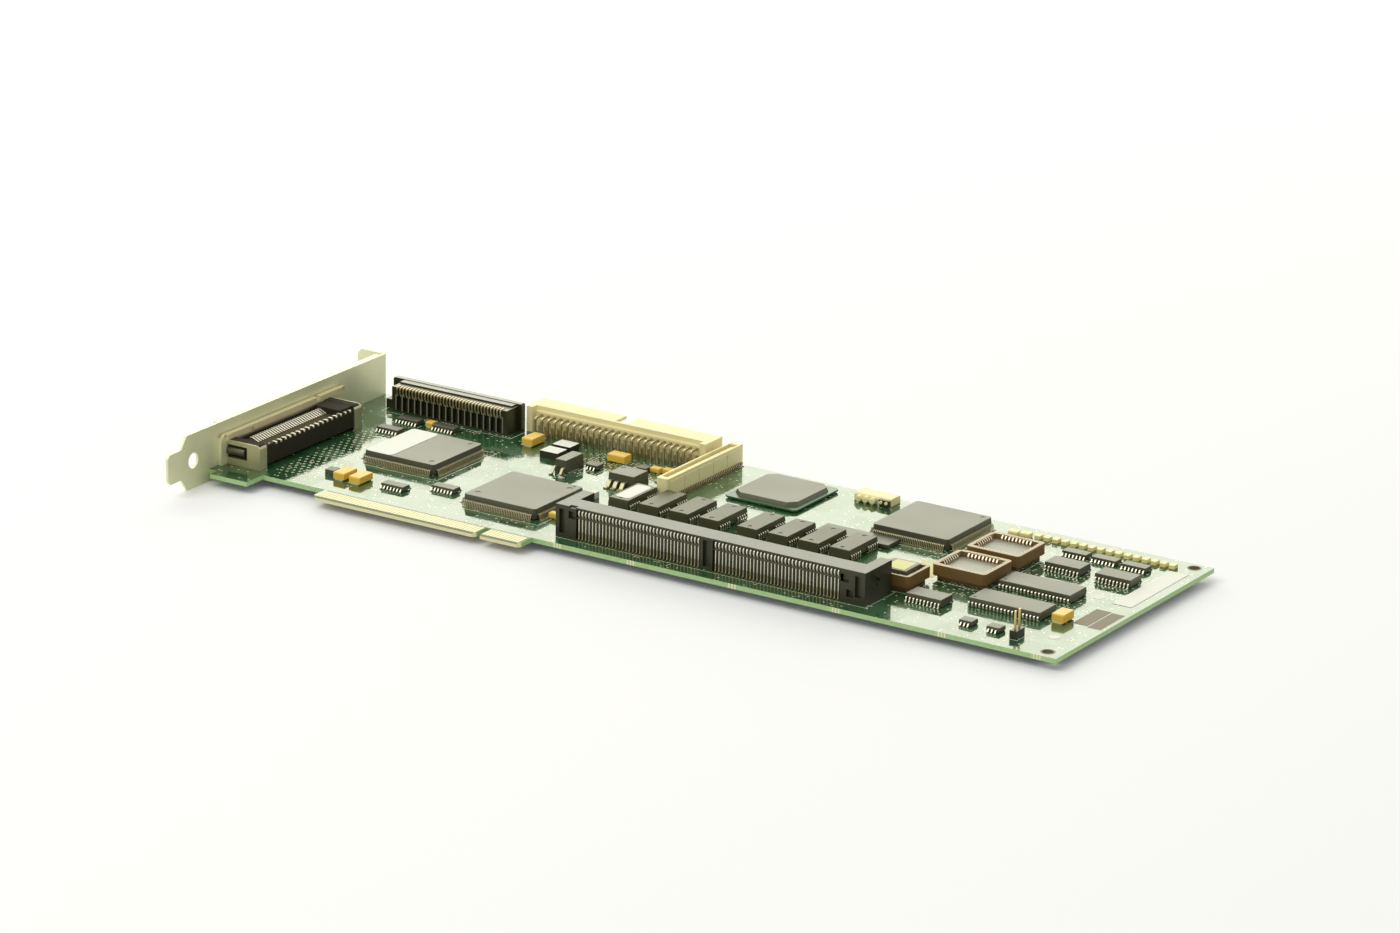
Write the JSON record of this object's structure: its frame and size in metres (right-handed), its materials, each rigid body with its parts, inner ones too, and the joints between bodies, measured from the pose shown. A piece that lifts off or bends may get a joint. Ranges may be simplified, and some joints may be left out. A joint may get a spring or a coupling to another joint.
{
  "type": "raid controller card",
  "caption": "Full-length expansion card with metal slot bracket, gold edge fingers, drive and daughter connectors, module socket, flat chips, sockets and small parts.",
  "frame": {"origin": "on the component surface of the board, at the inner face of the slot bracket and in line with the edge of the finger tab", "axes": "+X along the card from the bracket to the far end, +Y across the card from the finger edge to the top edge, +Z out of the component side"},
  "size_m": [0.3234, 0.1267, 0.0185],
  "materials": {
    "block_capacitor_terminals": "tinned",
    "block_capacitors": "moulded",
    "bus_interface_chip": "moulded epoxy",
    "ceramic_filter_block": "ceramic",
    "chip_resistors": "ceramic",
    "chip_socket_front": "moulded",
    "chip_socket_rear": "moulded",
    "chip_socket_side": "moulded",
    "circuit_board": "glossy solder mask",
    "daughter_connector_body": "moulded",
    "drive_channel_chip": "moulded epoxy",
    "edge_fingers_component_side": "gold plated",
    "edge_fingers_solder_side": "gold plated",
    "jumper_header_base": "moulded epoxy",
    "jumper_header_pins": "tinned",
    "memory_chip_1": "moulded epoxy",
    "memory_chip_2": "moulded epoxy",
    "memory_chip_3": "moulded epoxy",
    "memory_chip_4": "moulded epoxy",
    "memory_chip_5": "moulded epoxy",
    "memory_chip_6": "moulded epoxy",
    "memory_chip_7": "moulded epoxy",
    "memory_chip_8": "moulded epoxy",
    "module_socket_body": "moulded",
    "module_socket_contacts": "gold plated",
    "mounting_bracket": "dull plated steel",
    "narrow_logic_chips": "moulded epoxy",
    "parity_engine_chip": "moulded epoxy",
    "power_leads": "tinned",
    "power_transistor": "moulded epoxy",
    "processor_cap": "moulded epoxy",
    "processor_solder_balls": "solder",
    "processor_substrate": "laminate",
    "rear_connector_body": "moulded",
    "rear_connector_covers": "plated",
    "rear_connector_jackscrews": "plated",
    "rear_connector_shell": "plated",
    "ribbon_header_pins": "gold plated",
    "ribbon_header_shroud": "moulded",
    "row_capacitors": "moulded",
    "small_logic_chips": "moulded epoxy",
    "small_power_diode": "moulded epoxy",
    "socketed_chip": "moulded epoxy",
    "square_inductors": "moulded epoxy",
    "static_memory_far": "moulded epoxy",
    "static_memory_near": "moulded epoxy",
    "status_header_body": "moulded",
    "status_header_pins": "tinned",
    "thin_flat_chip": "moulded epoxy",
    "voltage_regulator": "moulded epoxy",
    "wide_connector_body": "moulded",
    "wide_connector_contacts": "gold plated",
    "wide_logic_chips": "moulded epoxy"
  },
  "bodies": {
    "root": {"block_capacitor_terminals": "block_capacitor_terminals", "block_capacitors": "block_capacitors", "bus_interface_chip": "bus_interface_chip", "ceramic_filter_block": "ceramic_filter_block", "chip_resistors": "chip_resistors", "chip_socket_front": "chip_socket_front", "chip_socket_rear": "chip_socket_rear", "chip_socket_side": "chip_socket_side", "circuit_board": "circuit_board", "daughter_connector_body": "daughter_connector_body", "drive_channel_chip": "drive_channel_chip", "edge_fingers_component_side": "edge_fingers_component_side", "edge_fingers_solder_side": "edge_fingers_solder_side", "jumper_header_base": "jumper_header_base", "jumper_header_pins": "jumper_header_pins", "memory_chip_1": "memory_chip_1", "memory_chip_2": "memory_chip_2", "memory_chip_3": "memory_chip_3", "memory_chip_4": "memory_chip_4", "memory_chip_5": "memory_chip_5", "memory_chip_6": "memory_chip_6", "memory_chip_7": "memory_chip_7", "memory_chip_8": "memory_chip_8", "module_socket_body": "module_socket_body", "module_socket_contacts": "module_socket_contacts", "mounting_bracket": "mounting_bracket", "narrow_logic_chips": "narrow_logic_chips", "parity_engine_chip": "parity_engine_chip", "power_leads": "power_leads", "power_transistor": "power_transistor", "processor_cap": "processor_cap", "processor_solder_balls": "processor_solder_balls", "processor_substrate": "processor_substrate", "rear_connector_body": "rear_connector_body", "rear_connector_covers": "rear_connector_covers", "rear_connector_jackscrews": "rear_connector_jackscrews", "rear_connector_shell": "rear_connector_shell", "ribbon_header_pins": "ribbon_header_pins", "ribbon_header_shroud": "ribbon_header_shroud", "row_capacitors": "row_capacitors", "small_logic_chips": "small_logic_chips", "small_power_diode": "small_power_diode", "socketed_chip": "socketed_chip", "square_inductors": "square_inductors", "static_memory_far": "static_memory_far", "static_memory_near": "static_memory_near", "status_header_body": "status_header_body", "status_header_pins": "status_header_pins", "thin_flat_chip": "thin_flat_chip", "voltage_regulator": "voltage_regulator", "wide_connector_body": "wide_connector_body", "wide_connector_contacts": "wide_connector_contacts", "wide_logic_chips": "wide_logic_chips"}
  },
  "joints": []
}
